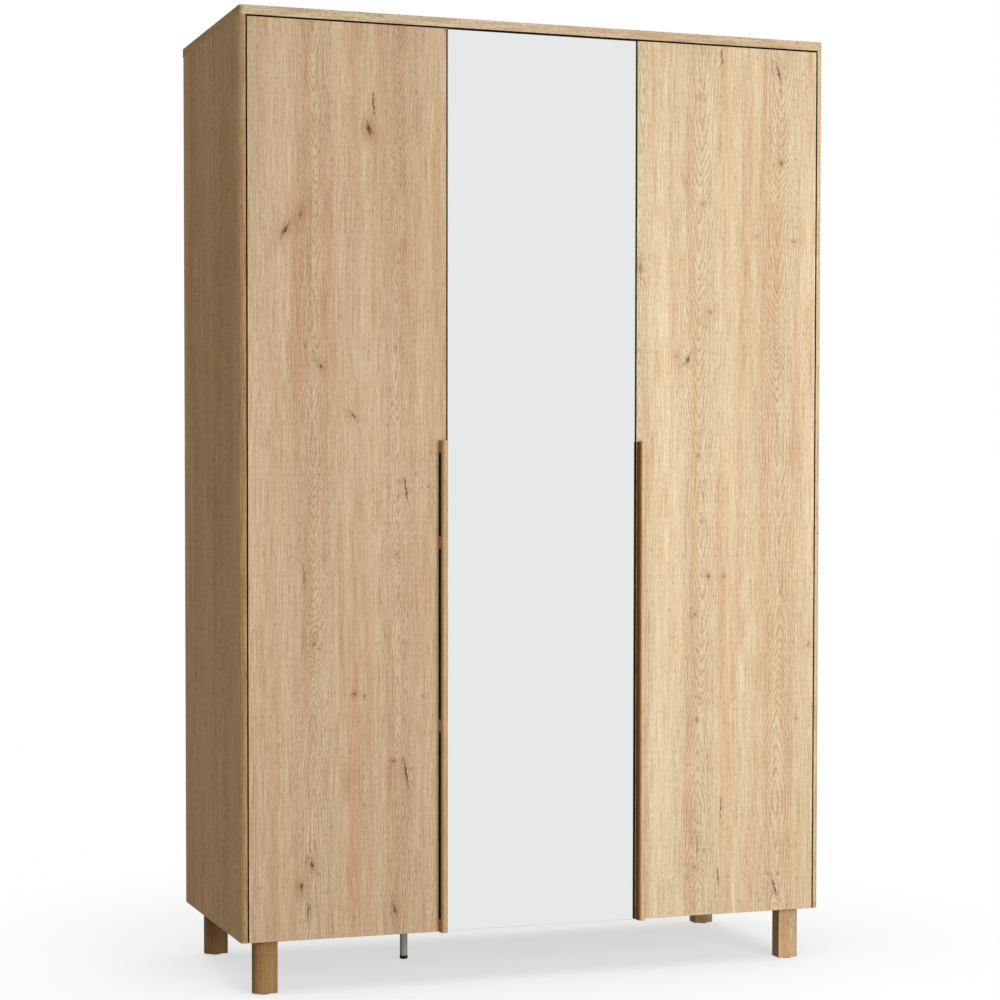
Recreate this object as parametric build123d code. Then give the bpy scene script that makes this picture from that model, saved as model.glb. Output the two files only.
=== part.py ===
from build123d import *

import os

# Three-door wardrobe on legs: oak-decor boards, two grip strips and a full-height mirror door.
#
# Millimetres, +Z up. The front faces -Y and the origin is on the floor, under the middle of the
# bounding box. Each sub-part is written to parts/NODE.step.

# ---- driving dimensions: the case -------------------------------------------------------
WIDTH = 1500.0
HEIGHT = 2305.0
BODY_DEPTH = 590.0
LEG_HEIGHT = 130.0
BOARD = 15.0
TOP_BOARD = 22.0
BACK_BOARD = 3.0
TOP_OVERHANG_REAR = 6.0
CORNER_RADIUS = 12.0
EDGE_RADIUS = 1.0

# ---- driving dimensions: the doors ------------------------------------------------------
DOOR_GAP = 3.0
DOOR_TOP_GAP = 4.0
DOOR_TO_SHELVES = 2.0
MIRROR_THICKNESS = 3.0
MIRROR_MARGIN = 1.0
HINGE_HEIGHTS = (230.0, 700.0, 1130.0, 1700.0, 2180.0)

# ---- driving dimensions: the grip strips -------------------------------------------------
HANDLE_OUT = 24.0
HANDLE_WIDTH = 17.0
HANDLE_INSET = 1.5
HANDLE_TOP = 1305.0
HANDLE_BAR = HANDLE_WIDTH / 2
HANDLE_NOSE_RADIUS = HANDLE_BAR - 0.1
HANDLE_WALL = 4.0
POCKETS = ((160.0, 610.0), (640.0, 1047.0), (1077.0, 1276.0))
POCKET_RADIUS = 3.0

# ---- driving dimensions: inside, legs and foot -------------------------------------------
LEFT_SHELVES = 5
HAT_SHELF_BOTTOM = 1985.0
RAIL_DROP = 45.0
RAIL_SIZE = (15.0, 30.0)
RAIL_WALL = 1.2
LEG_SIZE = (58.0, 38.0)
LEG_SIDE_INSET = 37.0
LEG_FRONT_INSET = 28.5
LEG_REAR_INSET = 29.5
LEG_OUTER_RADIUS = LEG_SIZE[1] / 2 - 0.1
LEG_INNER_RADIUS = 2.0
GLIDE_RADIUS = 14.0
GLIDE_HEIGHT = 3.0
FOOT_Y = 50.0
FOOT_RADIUS = 9.5
FOOT_CAP_HEIGHT = 8.5
FOOT_CAP_LIP = 0.6
FOOT_CAP_GAP = 0.3

# ---- places worked out from them ---------------------------------------------------------
FRONT = -(BODY_DEPTH - HANDLE_OUT) / 2
REAR = FRONT + BODY_DEPTH
CASE_REAR = REAR - TOP_OVERHANG_REAR
INSIDE_FRONT = FRONT + BOARD + DOOR_TO_SHELVES
CASE_TOP = HEIGHT - TOP_BOARD
FLOOR_TOP = LEG_HEIGHT + BOARD
INNER = WIDTH / 2 - BOARD
DOOR_WIDTH = (2 * INNER - 4 * DOOR_GAP) / 3
DOOR_TOP = CASE_TOP - DOOR_TOP_GAP
LEFT_PIVOT = -INNER + DOOR_GAP
MIRROR_PIVOT = LEFT_PIVOT + DOOR_WIDTH + DOOR_GAP
RIGHT_PIVOT = INNER - DOOR_GAP
PARTITION_LEFT = MIRROR_PIVOT - DOOR_GAP / 2 - BOARD / 2
PARTITION_RIGHT = PARTITION_LEFT + BOARD
PARTITION_MIDDLE = PARTITION_LEFT + BOARD / 2
BACK_SEAM = -PARTITION_MIDDLE
BAY_STEP = (CASE_TOP - FLOOR_TOP + BOARD) / (LEFT_SHELVES + 1)
SHELF_BOTTOMS = [FLOOR_TOP + BAY_STEP * (i + 1) - BOARD for i in range(LEFT_SHELVES)]
SHELF_REAR_GAP = 3.0
SHELF_REAR = CASE_REAR - SHELF_REAR_GAP
SIDE_CLEARANCE = 0.5


def block(x0, x1, y0, y1, z0, z1):
    """A box between two corners."""
    size = Box(x1 - x0, y1 - y0, z1 - z0)
    return Pos((x0 + x1) / 2, (y0 + y1) / 2, (z0 + z1) / 2) * size


def rod(start, direction, length, radius):
    """A round bar from a start point along a direction."""
    return extrude(Plane(origin=start, z_dir=direction) * Circle(radius), length)


def write(name, *solids):
    """Writes one named sub-part, a single solid or a group of separate ones."""
    shape = Compound([piece for solid in solids for piece in solid.solids()])
    export_step(shape, f"parts/{name}.step")
    print(name, round(shape.volume))


def cut(shape, tools):
    """Takes all the tools out of a shape in one go."""
    return shape - list(tools) if tools else shape


def mirrored(shapes):
    """The same solids on the other side of the wardrobe's middle plane."""
    return [mirror(shape, about=Plane.YZ) for shape in shapes]


# ---- cam fittings: a round cam in one board draws a bolt set in the next ------------------
CAM_RADIUS = 7.5
CAM_DEPTH = 12.0
CAM_TO_EDGE = 34.0
BOLT_RADIUS = 3.5
BOLT_TIP = 10.0
BOLT_GAP = 0.4
CAM_SLOT_RADIUS = 2.0
CAM_SLOT_DEPTH = 2.5
CAM_Y = (INSIDE_FRONT + 45.0, CASE_REAR - 50.0)


def cam_joint(face_point, face_normal, bolt_direction):
    """The cam, its bolt and the round ways cut for both, for one joint between two boards."""
    face = Vector(*face_point)
    inward = Vector(*face_normal) * -1
    along = Vector(*bolt_direction)
    cam_way = rod(face, inward, CAM_DEPTH, CAM_RADIUS)
    slot = rod(face, inward, CAM_SLOT_DEPTH, CAM_SLOT_RADIUS)
    axis = face + inward * (BOARD / 2)
    reach = CAM_TO_EDGE + BOLT_TIP
    bolt_start = CAM_RADIUS + BOLT_GAP
    bolt = rod(axis + along * bolt_start, along, reach - bolt_start, BOLT_RADIUS)
    bolt_way = rod(axis, along, reach, BOLT_RADIUS)
    return cam_way - slot, bolt, cam_way, bolt_way


cam_bores = {}
cams = []
cam_bolts = []


def join(cam_board, bolt_board, face_point, face_normal, bolt_direction):
    """Adds a cam joint and books its bores in the two boards."""
    cam, bolt, cam_way, bolt_way = cam_joint(face_point, face_normal, bolt_direction)
    cams.append(cam)
    cam_bolts.append(bolt)
    cam_bores.setdefault(cam_board, []).append(cam_way + bolt_way)
    cam_bores.setdefault(bolt_board, []).append(bolt_way)


for cam_y in CAM_Y:
    for side, panel in ((-1, "side_panel_left"), (1, "side_panel_right")):
        near_side = side * (INNER - CAM_TO_EDGE)
        join("bottom_panel", panel, (near_side, cam_y, FLOOR_TOP), (0, 0, 1), (side, 0, 0))
        join(panel, "top_panel", (side * INNER, cam_y, CASE_TOP - CAM_TO_EDGE), (-side, 0, 0), (0, 0, 1))
    top_spot = (PARTITION_RIGHT, cam_y, CASE_TOP - CAM_TO_EDGE)
    floor_spot = (PARTITION_RIGHT, cam_y, FLOOR_TOP + CAM_TO_EDGE)
    shelf_spot = (INNER - CAM_TO_EDGE, cam_y, HAT_SHELF_BOTTOM)
    join("partition", "top_panel", top_spot, (1, 0, 0), (0, 0, 1))
    join("partition", "bottom_panel", floor_spot, (1, 0, 0), (0, 0, -1))
    join("hat_shelf", "side_panel_right", shelf_spot, (0, 0, -1), (1, 0, 0))

# ---- shelf supports: pins in rows of holes -------------------------------------------------
PIN_RADIUS = 2.5
PIN_DEPTH = 9.0
PIN_HOLE_DEPTH = PIN_DEPTH + 1.0
PIN_STEP = 32.0
PIN_BELOW = PIN_RADIUS + 0.8
PIN_HEAD_OUT = 8.0
PIN_HEAD_HALF = 4.0
PIN_HEAD_HEIGHT = 7.0
PIN_HEAD_RADIUS = 3.0
PIN_COLUMNS = (INSIDE_FRONT + 40.0, CASE_REAR - 60.0)


def shelf_pin(face_x, into, y, under):
    """A pin with a flat-topped head that carries the shelf from below."""
    pin = rod((face_x, y, under - PIN_BELOW), (into, 0, 0), PIN_DEPTH, PIN_RADIUS)
    head_x = sorted((face_x, face_x - into * PIN_HEAD_OUT))
    head = block(*head_x, y - PIN_HEAD_HALF, y + PIN_HEAD_HALF, under - PIN_HEAD_HEIGHT, under)
    return pin + fillet(head.edges().filter_by(Axis.X).sort_by(Axis.Z)[:2], PIN_HEAD_RADIUS)


def pin_hole(face_x, into, y, z):
    """A blind hole for a shelf pin."""
    return rod((face_x, y, z), (into, 0, 0), PIN_HOLE_DEPTH, PIN_RADIUS)


def pin_holes(face_x, into):
    """Three holes at each column beside each adjustable shelf, so that it can move up or down."""
    return [
        pin_hole(face_x, into, y, under - PIN_BELOW + step * PIN_STEP)
        for under in SHELF_BOTTOMS
        for y in PIN_COLUMNS
        for step in (-1, 0, 1)
    ]


shelf_pins = [
    shelf_pin(face_x, into, y, under)
    for under in SHELF_BOTTOMS
    for y in PIN_COLUMNS
    for face_x, into in ((-INNER, -1), (PARTITION_LEFT, 1))
]
shelf_pins += [shelf_pin(PARTITION_RIGHT, -1, y, HAT_SHELF_BOTTOM) for y in PIN_COLUMNS]
hat_pin_holes = [pin_hole(PARTITION_RIGHT, -1, y, HAT_SHELF_BOTTOM - PIN_BELOW) for y in PIN_COLUMNS]


# ---- the case ------------------------------------------------------------------------------
def side_panel(side):
    """A tall side board with a generous round along its outer front edge."""
    plan = Rectangle(BOARD, CASE_REAR - FRONT)
    plan = Pos(side * (WIDTH - BOARD) / 2, (CASE_REAR + FRONT) / 2) * plan
    front_pair = plan.vertices().sort_by(Axis.Y)[:2]
    outer = front_pair.sort_by(Axis.X)[0 if side < 0 else -1]
    plan = fillet(outer, CORNER_RADIUS)
    inner = plan.vertices().group_by(Axis.Y)[0].sort_by(Axis.X)[-1 if side < 0 else 0]
    plan = fillet(inner, EDGE_RADIUS)
    return Pos(0, 0, LEG_HEIGHT) * extrude(plan, CASE_TOP - LEG_HEIGHT)


def top_panel():
    """The thick top board, its front corners rounded like the sides under them."""
    plan = Pos(0, (FRONT + REAR) / 2) * Rectangle(WIDTH, BODY_DEPTH)
    plan = fillet(plan.vertices().group_by(Axis.Y)[0], CORNER_RADIUS)
    board = Pos(0, 0, CASE_TOP) * extrude(plan, TOP_BOARD)
    return fillet(board.faces().sort_by(Axis.Z)[-1].edges(), EDGE_RADIUS)


def board_between(x0, x1, z0, rear=CASE_REAR):
    """A level board between two uprights, its front edges eased."""
    board = block(x0, x1, INSIDE_FRONT, rear, z0, z0 + BOARD)
    return fillet(board.faces().sort_by(Axis.Y)[0].edges().filter_by(Axis.X), EDGE_RADIUS)


def partition():
    """The upright between the single bay and the double bay."""
    board = block(PARTITION_LEFT, PARTITION_RIGHT, INSIDE_FRONT, CASE_REAR, FLOOR_TOP, CASE_TOP)
    return fillet(board.faces().sort_by(Axis.Y)[0].edges().filter_by(Axis.Z), EDGE_RADIUS)


BACK_SIDE = WIDTH / 2 - 2.0
BACK_LOW = LEG_HEIGHT + 2.0
BACK_HIGH = CASE_TOP - 1.0
SEAM_HALF = 1.0
JOINER_HALF = 10.0
JOINER_WEB = 1.5
JOINER_LIP = 1.5
JOINER_LOW = FLOOR_TOP + 1.0
JOINER_HIGH = CASE_TOP - 1.5
NAIL_HEAD = (2.5, 0.8)
NAIL_SHANK = (0.8, 18.0)
NAIL_MARGIN = 60.0
NAIL_ROWS = 12
NAIL_STAGGER = 4.0
FLOOR_NAILS = 11
FLOOR_NAIL_STEP = 124.0


def back_board(x0, x1):
    """One thin back board, laid on the rear edges of the case."""
    return block(x0, x1, CASE_REAR, CASE_REAR + BACK_BOARD, BACK_LOW, BACK_HIGH)


def back_joiner():
    """An H strip that holds the two back boards of the double bay edge to edge."""
    front_lip, rear_lip = CASE_REAR - JOINER_LIP, CASE_REAR + BACK_BOARD
    web = block(BACK_SEAM - JOINER_WEB / 2, BACK_SEAM + JOINER_WEB / 2,
                front_lip, rear_lip + JOINER_LIP, JOINER_LOW, JOINER_HIGH)
    lips = [
        block(BACK_SEAM - JOINER_HALF, BACK_SEAM + JOINER_HALF, y, y + JOINER_LIP, JOINER_LOW, JOINER_HIGH)
        for y in (front_lip, rear_lip)
    ]
    return web + lips


def nail(x, z):
    """A short flat-headed nail driven through the back board."""
    start = (x, CASE_REAR + BACK_BOARD, z)
    head_radius, head_height = NAIL_HEAD
    shank_radius, shank_length = NAIL_SHANK
    head = rod(start, (0, 1, 0), head_height, head_radius)
    return head + rod(start, (0, -1, 0), shank_length, shank_radius)


def back_nails():
    """Nails down each upright, two staggered rows on the partition, and along the bottom board."""
    row_step = (BACK_HIGH - BACK_LOW - 2 * NAIL_MARGIN) / (NAIL_ROWS - 1)
    rows = [BACK_LOW + NAIL_MARGIN + i * row_step for i in range(NAIL_ROWS)]
    side = WIDTH / 2 - BOARD / 2
    uprights = (-side, PARTITION_MIDDLE - NAIL_STAGGER, PARTITION_MIDDLE + NAIL_STAGGER, side)
    nails = [nail(x, z) for x in uprights for z in rows]
    floor_row = [FLOOR_NAIL_STEP * (i - (FLOOR_NAILS - 1) / 2) for i in range(FLOOR_NAILS)]
    return nails + [nail(x, LEG_HEIGHT + BOARD / 2) for x in floor_row]


# ---- legs, glides and the centre foot --------------------------------------------------------
LEG_X = WIDTH / 2 - LEG_SIDE_INSET - LEG_SIZE[0] / 2
LEG_Y = (FRONT + LEG_FRONT_INSET + LEG_SIZE[1] / 2, REAR - LEG_REAR_INSET - LEG_SIZE[1] / 2)
LEG_PLACES = {
    "leg_front_left": (-LEG_X, LEG_Y[0]),
    "leg_front_right": (LEG_X, LEG_Y[0]),
    "leg_rear_left": (-LEG_X, LEG_Y[1]),
    "leg_rear_right": (LEG_X, LEG_Y[1]),
}
INSERT_RADIUS = 6.0
INSERT_LENGTH = 25.0
LEG_BOLT_RADIUS = 4.0
BOLT_END_ROOM = 12.0
BOLT_HEAD_RADIUS = 9.0
BOLT_HEAD_HEIGHT = 4.0
BOLT_HEAD_LOW = FLOOR_TOP + 1.0 - BOLT_HEAD_HEIGHT
SOCKET_RADIUS = 2.9
SOCKET_FLOOR = 1.5
GLIDE_PIN_RADIUS = 2.5
GLIDE_PIN_LENGTH = 15.0
GLIDE_EDGE_RADIUS = 1.0


def leg(x, y):
    """A block leg with its outer side turned half round and bores for insert and glide pin."""
    plan = Rectangle(*LEG_SIZE)
    outer = plan.vertices().sort_by(Axis.X)[2:] if x > 0 else plan.vertices().sort_by(Axis.X)[:2]
    plan = fillet(outer, LEG_OUTER_RADIUS)
    inner = plan.vertices().group_by(Axis.X)[0 if x > 0 else -1]
    plan = fillet(inner, LEG_INNER_RADIUS)
    body = Pos(x, y, GLIDE_HEIGHT) * extrude(plan, LEG_HEIGHT - GLIDE_HEIGHT)
    bores = [
        rod((x, y, LEG_HEIGHT), (0, 0, -1), INSERT_LENGTH + BOLT_END_ROOM, LEG_BOLT_RADIUS),
        rod((x, y, LEG_HEIGHT), (0, 0, -1), INSERT_LENGTH, INSERT_RADIUS),
        rod((x, y, GLIDE_HEIGHT), (0, 0, 1), GLIDE_PIN_LENGTH, GLIDE_PIN_RADIUS),
    ]
    return cut(body, bores)


def leg_insert(x, y):
    """A threaded sleeve in the top of a leg."""
    sleeve = rod((x, y, LEG_HEIGHT - INSERT_LENGTH), (0, 0, 1), INSERT_LENGTH, INSERT_RADIUS)
    return sleeve - rod((x, y, LEG_HEIGHT - INSERT_LENGTH), (0, 0, 1), INSERT_LENGTH, LEG_BOLT_RADIUS)


def leg_bolt(x, y):
    """A flat-headed socket bolt from inside the case down into a leg."""
    head = rod((x, y, BOLT_HEAD_LOW), (0, 0, 1), BOLT_HEAD_HEIGHT, BOLT_HEAD_RADIUS)
    shank_length = BOLT_HEAD_LOW - LEG_HEIGHT + INSERT_LENGTH
    shank = rod((x, y, BOLT_HEAD_LOW), (0, 0, -1), shank_length, LEG_BOLT_RADIUS)
    hexagon = extrude(RegularPolygon(SOCKET_RADIUS, 6), BOLT_HEAD_HEIGHT)
    return head + shank - Pos(x, y, BOLT_HEAD_LOW + SOCKET_FLOOR) * hexagon


def leg_bolt_bore(x, y):
    """The stepped bore in the bottom board for one leg bolt."""
    through = rod((x, y, LEG_HEIGHT), (0, 0, 1), BOARD, LEG_BOLT_RADIUS)
    return through + rod((x, y, BOLT_HEAD_LOW), (0, 0, 1), BOLT_HEAD_HEIGHT, BOLT_HEAD_RADIUS)


def glide(x, y):
    """A round slightly crowned pad on a pin, under a leg."""
    pad = rod((x, y, 0), (0, 0, 1), GLIDE_HEIGHT, GLIDE_RADIUS)
    pad = fillet(pad.edges().group_by(Axis.Z)[0], GLIDE_EDGE_RADIUS)
    return pad + rod((x, y, GLIDE_HEIGHT), (0, 0, 1), GLIDE_PIN_LENGTH, GLIDE_PIN_RADIUS)


FLANGE_RADIUS = 24.0
FLANGE_HEIGHT = 2.5
STEM_RADIUS = 4.0
STEM_TOP = 45.0
STEM_LOW = 2.0
NUT_TOP = 30.0
THREAD_PLAY = 0.05
TUBE_WALL = 1.5
TUBE_LOW = FOOT_CAP_HEIGHT + FOOT_CAP_GAP
FOOT_CAP_RADIUS = FOOT_RADIUS + FOOT_CAP_LIP
FOOT_CAP_ROUND = 1.5
FOOT_X = PARTITION_MIDDLE
FOOT_SCREW_RING = 17.0
FOOT_SCREW_HOLE = 2.0
FOOT_SCREW_LENGTH = 14.0
FOOT_SCREWS = [
    (spot.X, spot.Y) for spot in
    (Vector(FOOT_X, FOOT_Y) + Vector(FOOT_SCREW_RING, 0).rotate(Axis.Z, turn) for turn in (0, 120, 240))
]


def foot_flange():
    """The round plate that carries the centre tube, with three screw holes."""
    plate = rod((FOOT_X, FOOT_Y, LEG_HEIGHT), (0, 0, -1), FLANGE_HEIGHT, FLANGE_RADIUS)
    holes = [rod((x, y, LEG_HEIGHT), (0, 0, -1), FLANGE_HEIGHT, FOOT_SCREW_HOLE) for x, y in FOOT_SCREWS]
    return cut(plate, holes)


def foot_tube():
    """The grey tube of the centre foot."""
    height = LEG_HEIGHT - FLANGE_HEIGHT - TUBE_LOW
    outer = rod((FOOT_X, FOOT_Y, TUBE_LOW), (0, 0, 1), height, FOOT_RADIUS)
    return outer - rod((FOOT_X, FOOT_Y, TUBE_LOW), (0, 0, 1), height, FOOT_RADIUS - TUBE_WALL)


def foot_nut():
    """The threaded plug in the tube's lower end."""
    height = NUT_TOP - TUBE_LOW
    plug = rod((FOOT_X, FOOT_Y, TUBE_LOW), (0, 0, 1), height, FOOT_RADIUS - TUBE_WALL)
    return plug - rod((FOOT_X, FOOT_Y, TUBE_LOW), (0, 0, 1), height, STEM_RADIUS + THREAD_PLAY)


def foot_cap():
    """The dark cap that stands on the floor, moulded round the stem's head."""
    cap = rod((FOOT_X, FOOT_Y, 0), (0, 0, 1), FOOT_CAP_HEIGHT, FOOT_CAP_RADIUS)
    cap = fillet(cap.edges().group_by(Axis.Z)[0], FOOT_CAP_ROUND)
    return cap - rod((FOOT_X, FOOT_Y, STEM_LOW), (0, 0, 1), FOOT_CAP_HEIGHT, STEM_RADIUS)


def foot_stem():
    """The threaded stem that screws the cap up and down."""
    return rod((FOOT_X, FOOT_Y, STEM_LOW), (0, 0, 1), STEM_TOP - STEM_LOW, STEM_RADIUS)


# ---- screws --------------------------------------------------------------------------------------
# A head is (radius, height).
PAN_HEAD = (3.5, 1.8)
CUP_SCREW_HEAD = (3.0, 1.3)
ADJUSTER_HEAD = (3.5, 1.5)
THIN_SHANK = 1.6
THICK_SHANK = 1.9
DRIVER_RADIUS = 1.1
DRIVER_DEPTH = 1.0


def wood_screw(point, direction, length, head=PAN_HEAD, shank_radius=THIN_SHANK):
    """A screw with a flat round head on the point, a driver bore and its shank along the direction."""
    into = Vector(*direction)
    start = Vector(*point)
    head_radius, head_height = head
    top = start - into * head_height
    solid_head = rod(top, into, head_height, head_radius)
    shank = rod(start, into, length, shank_radius)
    return solid_head + shank - rod(top, into, DRIVER_DEPTH, DRIVER_RADIUS)


# ---- concealed hinges ------------------------------------------------------------------------
# Drawn for a door that reaches from its pivot towards +X: u is the distance from the pivot
# along the door, v the distance back from the door's front face.
CUP_U = 22.5
CUP_BORE = 17.5
CUP_DEPTH = 10.5
CUP_LIP = 1.2
CUP_RIM = 1.5
CUP_INSIDE = 15.5
CUP_FLOOR = 1.0
EAR_U = 30.0
EAR_SIZE = (16.0, 62.0)
EAR_RADIUS = 6.0
CUP_SCREW_U = EAR_U + 2.0
CUP_SCREW_Z = 24.0
CUP_SCREW_LENGTH = 9.5
ARM_HALF = 7.0
ARM_STANDOFF = 8.0
ARM_THICKNESS = 8.0
ARM_REAR = 78.0
ARM_ELBOW = (19.0, 27.0)
ARM_NOSE_U = (19.0, 25.0)
ARM_NOSE_V = 7.0
ARM_END_RADIUS = 3.0
ADJUSTER_V = (40.0, 66.0)
ADJUSTER_BITE = 0.5
SADDLE_V = (34.0, 70.0)
SADDLE_HALF = 6.0
PLATE_V = 52.0
PLATE_THICKNESS = 2.0
WING_HALF = (7.0, 24.0)
WING_RADIUS = 4.0
PLATE_SCREW_Z = 16.0
PLATE_SCREW_LENGTH = 12.0
SIDE_FACE_U = -DOOR_GAP
PARTITION_FACE_U = PARTITION_RIGHT - MIRROR_PIVOT


def at_hinge(shape, pivot_x, z):
    """Moves a hinge piece from its own place to a pivot and a height."""
    return Pos(pivot_x, FRONT, z) * shape


def cup():
    """The pressed cup with its flange and two screw ears."""
    body = rod((CUP_U, BOARD, 0), (0, -1, 0), CUP_DEPTH, CUP_BORE)
    flange_plane = Plane(origin=(0, BOARD, 0), x_dir=(1, 0, 0), z_dir=(0, -1, 0))
    ears = Pos(EAR_U, 0) * RectangleRounded(*EAR_SIZE, EAR_RADIUS)
    flange = extrude(flange_plane * (Pos(CUP_U, 0) * Circle(CUP_BORE + CUP_RIM) + ears), -CUP_LIP)
    inside = rod((CUP_U, BOARD + CUP_LIP, 0), (0, -1, 0), CUP_DEPTH + CUP_LIP - CUP_FLOOR, CUP_INSIDE)
    holes = [
        rod((CUP_SCREW_U, BOARD + CUP_LIP, z), (0, -1, 0), CUP_LIP, THIN_SHANK)
        for z in (-CUP_SCREW_Z, CUP_SCREW_Z)
    ]
    return cut(body + flange, [inside, *holes])


def cup_bore():
    """The round pocket that the cup is pressed into."""
    return rod((CUP_U, BOARD, 0), (0, -1, 0), CUP_DEPTH, CUP_BORE)


def cup_screws():
    """The two screws through the cup's ears."""
    return [
        wood_screw((CUP_SCREW_U, BOARD + CUP_LIP, z), (0, -1, 0), CUP_SCREW_LENGTH, CUP_SCREW_HEAD)
        for z in (-CUP_SCREW_Z, CUP_SCREW_Z)
    ]


def arm(face_u):
    """The cranked arm, from its saddle on the upright to its nose inside the cup."""
    low = face_u + ARM_STANDOFF
    high = low + ARM_THICKNESS
    nose_low, nose_high = ARM_NOSE_U
    elbow_low, elbow_high = ARM_ELBOW
    outline = Polyline(
        (nose_low, ARM_NOSE_V), (nose_high, ARM_NOSE_V), (nose_high, elbow_high), (high, elbow_high),
        (high, ARM_REAR), (low, ARM_REAR), (low, elbow_low), (nose_low, elbow_low), close=True
    )
    bar = Pos(0, 0, -ARM_HALF) * extrude(make_face(outline), 2 * ARM_HALF)
    return fillet(bar.edges().filter_by(Axis.Z).sort_by(Axis.Y)[-2:], ARM_END_RADIUS)


def adjusting_screws(face_u):
    """The two screws on the arm that set the door's place."""
    top = face_u + ARM_STANDOFF + ARM_THICKNESS
    return [wood_screw((top, v, 0), (-1, 0, 0), ADJUSTER_BITE, ADJUSTER_HEAD) for v in ADJUSTER_V]


def mounting_plate(face_u):
    """A saddle with two wings, screwed to the upright."""
    wing_v, wing_z = WING_HALF
    saddle = block(face_u, face_u + ARM_STANDOFF, *SADDLE_V, -SADDLE_HALF, SADDLE_HALF)
    wings = block(face_u, face_u + PLATE_THICKNESS, PLATE_V - wing_v, PLATE_V + wing_v, -wing_z, wing_z)
    wings = fillet(wings.edges().filter_by(Axis.X), WING_RADIUS)
    holes = [
        rod((face_u, PLATE_V, z), (1, 0, 0), PLATE_THICKNESS, THICK_SHANK + 0.1)
        for z in (-PLATE_SCREW_Z, PLATE_SCREW_Z)
    ]
    return cut(saddle + wings, holes)


def plate_screws(face_u):
    """The two screws through a mounting plate's wings."""
    top = face_u + PLATE_THICKNESS
    return [
        wood_screw((top, PLATE_V, z), (-1, 0, 0), PLATE_SCREW_LENGTH, shank_radius=THICK_SHANK)
        for z in (-PLATE_SCREW_Z, PLATE_SCREW_Z)
    ]


def hinge_set(pivot_x, face_u):
    """All hinge pieces of one door, as a dictionary of lists."""
    pieces = {"cups": [], "cup_screws": [], "bores": [], "arms": [], "plates": [], "plate_screws": []}
    for z in HINGE_HEIGHTS:
        made = {
            "cups": [cup()],
            "cup_screws": cup_screws(),
            "bores": [cup_bore()],
            "arms": [arm(face_u)],
            "plates": [mounting_plate(face_u)],
            "plate_screws": plate_screws(face_u) + adjusting_screws(face_u),
        }
        for kind, shapes in made.items():
            pieces[kind] += [at_hinge(shape, pivot_x, z) for shape in shapes]
    return pieces


# ---- doors and grip strips ---------------------------------------------------------------------
MIRROR_BEVEL = 0.5
GRIP_EDGE = LEFT_PIVOT + DOOR_WIDTH - HANDLE_INSET
GRIP_SCREW_HEIGHTS = (145.0, 625.0, 1062.0, 1290.0)
GRIP_SCREW_BITE = 14.0


def door_panel(x0, front=FRONT):
    """A plain door board, its front edges eased."""
    board = block(x0, x0 + DOOR_WIDTH, front, FRONT + BOARD, LEG_HEIGHT, DOOR_TOP)
    return fillet(board.faces().sort_by(Axis.Y)[0].edges(), EDGE_RADIUS)


def mirror_glass():
    """The mirror, a hair smaller than its door, with its edges ground."""
    glass = block(MIRROR_PIVOT + MIRROR_MARGIN, MIRROR_PIVOT + DOOR_WIDTH - MIRROR_MARGIN,
                  FRONT, FRONT + MIRROR_THICKNESS, LEG_HEIGHT + MIRROR_MARGIN, DOOR_TOP - MIRROR_MARGIN)
    return chamfer(glass.faces().sort_by(Axis.Y)[0].edges(), MIRROR_BEVEL)


def grip_strip():
    """The left door's grip: a half-round bar on a rib, the rib cut into three finger pockets."""
    bar_rear = FRONT - HANDLE_OUT + HANDLE_BAR
    strip = block(GRIP_EDGE - HANDLE_WIDTH, GRIP_EDGE, FRONT - HANDLE_OUT, FRONT, LEG_HEIGHT, HANDLE_TOP)
    nose = strip.faces().sort_by(Axis.Y)[0].edges().filter_by(Axis.Z)
    strip = fillet(nose, HANDLE_NOSE_RADIUS)
    pockets = []
    for low, high in POCKETS:
        pocket = block(GRIP_EDGE - HANDLE_WIDTH - 1, GRIP_EDGE - HANDLE_WALL, bar_rear, FRONT, low, high)
        bar_side = pocket.edges().filter_by(Axis.X).group_by(Axis.Y)[0]
        pockets.append(fillet(bar_side, POCKET_RADIUS))
    return cut(strip, pockets)


def grip_screws():
    """Screws from the door's rear face into the grip strip's solid blocks."""
    middle = GRIP_EDGE - HANDLE_WIDTH / 2
    return [
        wood_screw((middle, FRONT + BOARD, z), (0, -1, 0), BOARD + GRIP_SCREW_BITE, shank_radius=THICK_SHANK)
        for z in GRIP_SCREW_HEIGHTS
    ]


# ---- hanging rail --------------------------------------------------------------------------------
RAIL_Y = (INSIDE_FRONT + CASE_REAR) / 2
RAIL_Z = HAT_SHELF_BOTTOM - RAIL_DROP
SOCKET_WALL = 3.0
SOCKET_LENGTH = 12.0
SOCKET_PLAY = 0.4
SOCKET_FLANGE = (RAIL_SIZE[0] + 10.0, RAIL_SIZE[1] + 30.0)
SOCKET_SCREW_Z = 24.0
SOCKET_SCREW_LENGTH = 14.0


def oval(width, height):
    """An upright oval in the plane across the rail."""
    return SlotOverall(height, width)


def grown(size, more):
    """A pair of sizes, both larger by the same amount."""
    return size[0] + more, size[1] + more


def rail_tube():
    """The oval tube that clothes hang from."""
    start = PARTITION_RIGHT + SOCKET_WALL
    across = Plane(origin=(start, RAIL_Y, RAIL_Z), x_dir=(0, 0, 1), z_dir=(1, 0, 0))
    ring = oval(*RAIL_SIZE) - oval(*grown(RAIL_SIZE, -2 * RAIL_WALL))
    return extrude(across * ring, INNER - SOCKET_WALL - start)


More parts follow.
